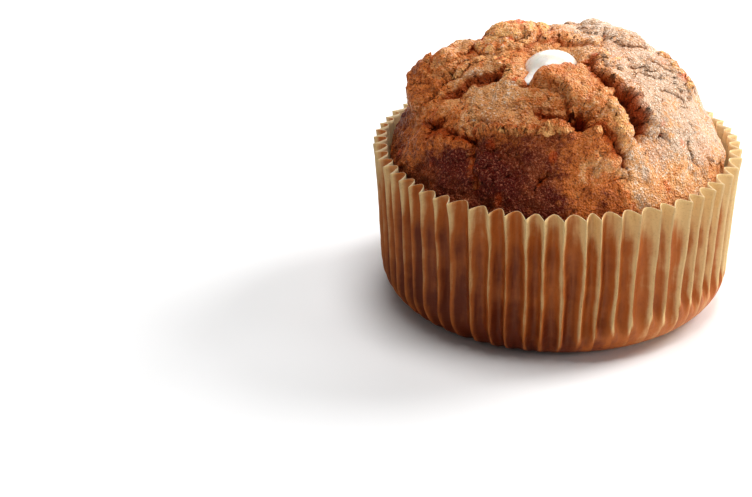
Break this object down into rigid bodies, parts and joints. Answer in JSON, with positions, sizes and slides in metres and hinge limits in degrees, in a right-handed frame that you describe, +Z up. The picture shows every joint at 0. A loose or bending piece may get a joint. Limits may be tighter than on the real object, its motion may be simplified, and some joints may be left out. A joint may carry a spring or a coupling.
{
  "type": "filled carrot muffin",
  "caption": "Round carrot muffin with a cracked domed crust, baked in a pleated paper case and filled with soft cream through a crater in its top.",
  "frame": {"origin": "centre of the underside of the paper case", "axes": "+Z up through the middle of the dome, -Y towards the front, where the torn flap and the open splits of the crust are"},
  "size_m": [0.086, 0.086, 0.0637],
  "materials": {
    "baking_paper": "matt greaseproof paper, darkened where it soaked up fat",
    "baked_crumb": "browned, cracked crust with torn golden crumb in its splits",
    "cream": "smooth, moist and softly glossy"
  },
  "bodies": {
    "root": {"paper_case": "baking_paper", "muffin_crumb": "baked_crumb", "cream_filling": "cream"}
  },
  "joints": []
}
